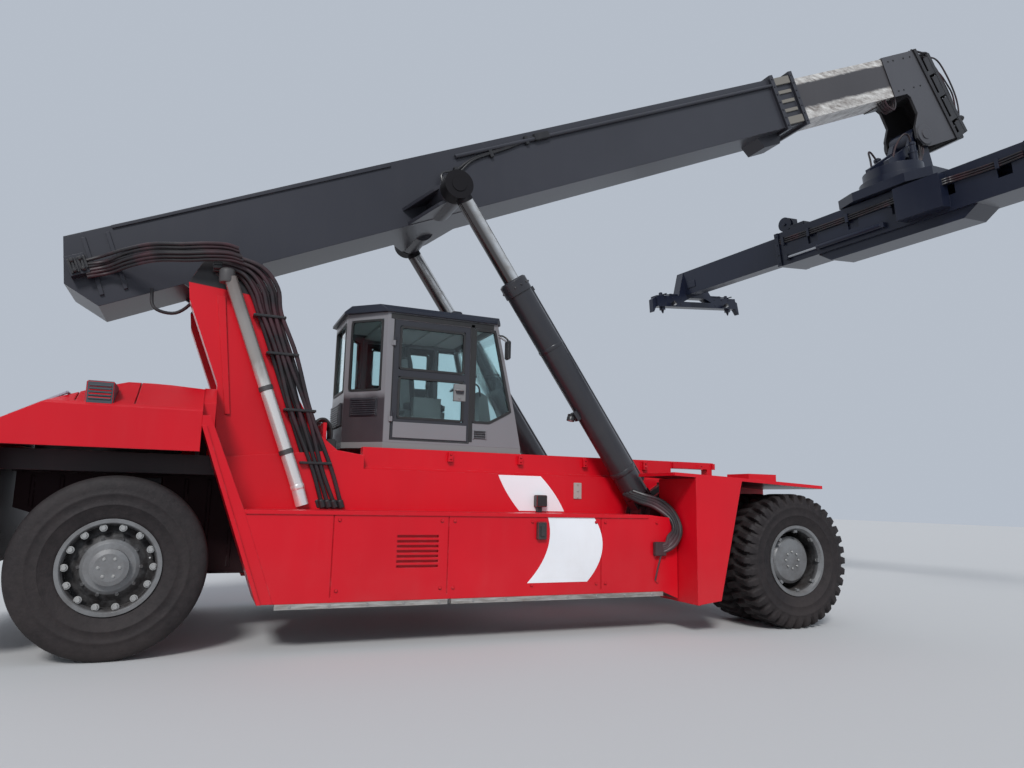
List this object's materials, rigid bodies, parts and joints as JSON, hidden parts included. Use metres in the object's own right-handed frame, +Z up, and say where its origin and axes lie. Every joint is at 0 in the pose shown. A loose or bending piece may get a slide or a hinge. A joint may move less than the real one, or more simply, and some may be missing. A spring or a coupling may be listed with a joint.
{
  "type": "reach stacker",
  "caption": "Container handling machine with a telescopic boom lifted by twin cylinders, a turning telescopic spreader, a sliding cab, twin front tyres and steered rear tyres",
  "frame": {"origin": "on the ground under the middle of the front (drive) axle", "axes": "+X forward along the machine, +Y to its left, +Z up"},
  "size_m": [16.5655, 10.9464, 10.198],
  "materials": {
    "red": "gloss paint",
    "cast": "painted cast",
    "aluminium": "dull",
    "hose_rubber": "matt",
    "lamp": "clear",
    "black_paint": "satin paint",
    "tyre": "ribbed rubber",
    "rim": "dull paint",
    "charcoal": "satin paint",
    "barrel_black": "satin paint",
    "rod_chrome": "polished",
    "interior": "matt",
    "cab_grey": "gloss paint",
    "cab_dark": "satin paint",
    "glass": "tinted"
  },
  "bodies": {
    "chassis": {"frame": "red", "counterweight": "cast", "hood": "red", "engine_block": "cast", "side_boxes": "red", "step_bars": "aluminium", "rear_fenders": "red", "front_fenders": "red", "cab_rails": "red", "exhaust": "aluminium", "hoses": "hose_rubber", "drive_axle": "cast", "steer_axle": "cast", "lamps": "lamp", "handrails": "black_paint"},
    "front_wheels_r": {"front_tyres_r": "tyre", "front_rims_r": "rim"},
    "front_wheels_l": {"front_tyres_l": "tyre", "front_rims_l": "rim"},
    "steer_knuckle_r": {"knuckle_r": "cast"},
    "steer_knuckle_l": {"knuckle_l": "cast"},
    "rear_wheel_r": {"rear_tyre_r": "tyre", "rear_rim_r": "rim"},
    "rear_wheel_l": {"rear_tyre_l": "tyre", "rear_rim_l": "rim"},
    "boom": {"boom_outer": "charcoal"},
    "boom_extension": {"boom_inner": "charcoal", "boom_nose": "charcoal"},
    "cylinder_r": {"barrel_r": "barrel_black"},
    "piston_r": {"rod_r": "rod_chrome"},
    "cylinder_l": {"barrel_l": "barrel_black"},
    "piston_l": {"rod_l": "rod_chrome"},
    "hanger": {"yoke": "charcoal"},
    "turntable": {"carriage": "charcoal"},
    "spreader": {"spreader_frame": "charcoal"},
    "spreader_arm_far": {"arm_far": "charcoal"},
    "spreader_arm_near": {"arm_near": "charcoal"},
    "cab": {"cab_floor": "interior", "cab_shell": "cab_grey", "cab_roof": "cab_dark", "cab_glass": "glass"},
    "cab_door_r": {"door_r": "cab_dark", "door_glass_r": "glass"},
    "cab_door_l": {"door_l": "cab_dark", "door_glass_l": "glass"}
  },
  "joints": [
    {"name": "front_wheels_r_spin", "type": "hinge", "parent": "chassis", "child": "front_wheels_r", "pos_m": [0, -1.535, 0.81], "axis": [0, 1, 0], "continuous": true},
    {"name": "front_wheels_l_spin", "type": "hinge", "parent": "chassis", "child": "front_wheels_l", "pos_m": [0, 1.535, 0.81], "axis": [0, 1, 0], "continuous": true},
    {"name": "steer_r", "type": "hinge", "parent": "chassis", "child": "steer_knuckle_r", "pos_m": [-7.5, -1, 0.81], "axis": [0, 0, 1], "range_deg": [-45, 45]},
    {"name": "steer_l", "type": "hinge", "parent": "chassis", "child": "steer_knuckle_l", "pos_m": [-7.5, 1, 0.81], "axis": [0, 0, 1], "range_deg": [-45, 45]},
    {"name": "rear_wheel_r_spin", "type": "hinge", "parent": "steer_knuckle_r", "child": "rear_wheel_r", "pos_m": [-7.5, -1.395, 0.81], "axis": [0, 1, 0], "continuous": true},
    {"name": "rear_wheel_l_spin", "type": "hinge", "parent": "steer_knuckle_l", "child": "rear_wheel_l", "pos_m": [-7.5, 1.395, 0.81], "axis": [0, 1, 0], "continuous": true},
    {"name": "boom_lift", "type": "hinge", "parent": "chassis", "child": "boom", "pos_m": [-6.75, 0, 3.88], "axis": [0, -1, 0], "range_deg": [-22, 36]},
    {"name": "boom_extend", "type": "slide", "parent": "boom", "child": "boom_extension", "axis": [0.9135, 0, 0.4067], "range_m": [-2.1, 4.8]},
    {"name": "cylinder_r_tilt", "type": "hinge", "parent": "chassis", "child": "cylinder_r", "pos_m": [-1.56, -1.13, 1.336], "axis": [0, 1, 0], "range_deg": [-5.2, 0]},
    {"name": "cylinder_r_stroke", "type": "slide", "parent": "cylinder_r", "child": "piston_r", "axis": [-0.5714, 0, 0.8206], "range_m": [-1.05, 1.7]},
    {"name": "cylinder_l_tilt", "type": "hinge", "parent": "chassis", "child": "cylinder_l", "pos_m": [-1.56, 1.13, 1.336], "axis": [0, 1, 0], "range_deg": [-5.2, 0]},
    {"name": "cylinder_l_stroke", "type": "slide", "parent": "cylinder_l", "child": "piston_l", "axis": [-0.5714, 0, 0.8206], "range_m": [-1.05, 1.7]},
    {"name": "head_swing", "type": "hinge", "parent": "boom_extension", "child": "hanger", "pos_m": [5.15, 0, 8.4], "axis": [0, -1, 0], "range_deg": [-36, 22]},
    {"name": "spreader_turn", "type": "hinge", "parent": "hanger", "child": "turntable", "pos_m": [4.87881, 0, 6.24618], "axis": [-0.1305, 0, 0.9914], "range_deg": [-114, 186]},
    {"name": "side_shift", "type": "slide", "parent": "turntable", "child": "spreader", "axis": [0.1551, -0.9877, 0.0204], "range_m": [-0.8, 0.8]},
    {"name": "arm_far_extend", "type": "slide", "parent": "spreader", "child": "spreader_arm_far", "axis": [-0.1551, 0.9877, -0.0204], "range_m": [-2.3, 0.767]},
    {"name": "arm_near_extend", "type": "slide", "parent": "spreader", "child": "spreader_arm_near", "axis": [0.1551, -0.9877, 0.0204], "range_m": [-2.3, 0.767]},
    {"name": "cab_travel", "type": "slide", "parent": "chassis", "child": "cab", "axis": [-1, 0, 0], "range_m": [-2.2, 0]},
    {"name": "cab_door_r_swing", "type": "hinge", "parent": "cab", "child": "cab_door_r", "pos_m": [-4.845, -0.816, 2.85], "axis": [0, 0, -1], "range_deg": [0, 85]},
    {"name": "cab_door_l_swing", "type": "hinge", "parent": "cab", "child": "cab_door_l", "pos_m": [-4.845, 0.816, 2.85], "axis": [0, 0, 1], "range_deg": [0, 85]}
  ],
  "couplings": [
    {"joint": "steer_l", "follows": "steer_r", "ratio": 1},
    {"joint": "cylinder_r_stroke", "follows": "boom_lift", "m_per_rad": 2.7},
    {"joint": "cylinder_l_stroke", "follows": "boom_lift", "m_per_rad": 2.7},
    {"joint": "head_swing", "follows": "boom_lift", "ratio": -1},
    {"joint": "arm_near_extend", "follows": "arm_far_extend", "ratio": 1}
  ]
}
